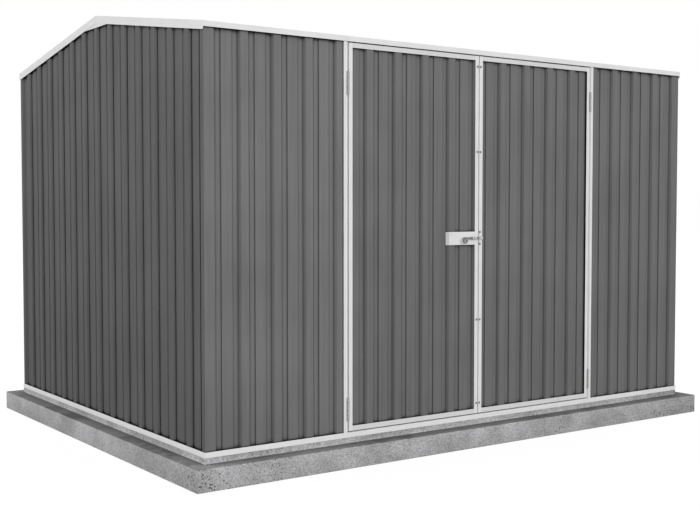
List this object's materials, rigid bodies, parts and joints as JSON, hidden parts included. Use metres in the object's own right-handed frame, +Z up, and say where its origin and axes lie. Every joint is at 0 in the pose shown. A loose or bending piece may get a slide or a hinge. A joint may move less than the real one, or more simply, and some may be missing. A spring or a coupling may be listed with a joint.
{
  "type": "metal tool shed",
  "caption": "Gable-roofed sheet-metal tool shed with ribbed walls, outward double doors and a pad bolt, on a rebated concrete slab.",
  "frame": {"origin": "centre of the slab's footprint, on its underside", "axes": "+Z up, +X to the right along the front, the doors face -Y"},
  "size_m": [3.152, 2.374, 2.0902],
  "materials": {
    "concrete": "cast concrete, slightly pitted",
    "light_steel": "off-white prepainted sheet steel",
    "grey_steel": "mid-grey prepainted sheet steel, low sheen",
    "galvanised": "zinc-coated steel"
  },
  "bodies": {
    "shed": {"concrete_slab": "concrete", "base_channel_front": "light_steel", "base_channel_back": "light_steel", "base_channel_left": "light_steel", "base_channel_right": "light_steel", "left_jamb": "light_steel", "right_jamb": "light_steel", "door_sill": "light_steel", "eave_trim_front": "light_steel", "eave_trim_back": "light_steel", "barge_left": "light_steel", "barge_right": "light_steel", "ridge_plates": "light_steel", "ridge_cap": "light_steel", "front_wall_left": "grey_steel", "front_wall_right": "grey_steel", "back_wall_1": "grey_steel", "back_wall_2": "grey_steel", "back_wall_3": "grey_steel", "back_wall_4": "grey_steel", "left_wall_front": "grey_steel", "left_wall_middle": "grey_steel", "left_wall_back": "grey_steel", "right_wall_front": "grey_steel", "right_wall_middle": "grey_steel", "right_wall_back": "grey_steel", "roof_sheet_front": "grey_steel", "roof_sheet_back": "grey_steel", "corner_posts": "galvanised", "top_rail_front": "galvanised", "top_rail_back": "galvanised", "gable_rails": "galvanised", "ridge_beam": "galvanised", "jamb_hinges": "galvanised"},
    "left_door": {"left_door_stiles": "light_steel", "left_door_rails": "light_steel", "left_door_sheet": "grey_steel", "left_door_brace": "galvanised", "left_door_hinges": "galvanised", "latch_plate": "light_steel", "bolt_guides": "galvanised"},
    "right_door": {"right_door_stiles": "light_steel", "right_door_rails": "light_steel", "right_door_sheet": "grey_steel", "right_door_brace": "galvanised", "right_door_hinges": "galvanised", "bolt_keeper": "galvanised"},
    "bolt": {"pad_bolt": "galvanised"}
  },
  "joints": [
    {"name": "left_door_swing", "type": "hinge", "parent": "shed", "child": "left_door", "pos_m": [-0.778, -1.1125, 0.98], "axis": [0, 0, -1], "range_deg": [0, 120]},
    {"name": "right_door_swing", "type": "hinge", "parent": "shed", "child": "right_door", "pos_m": [0.778, -1.1125, 0.98], "axis": [0, 0, 1], "range_deg": [0, 120]},
    {"name": "bolt_slide", "type": "slide", "parent": "left_door", "child": "bolt", "axis": [1, 0, 0], "range_m": [0, 0.026]}
  ]
}
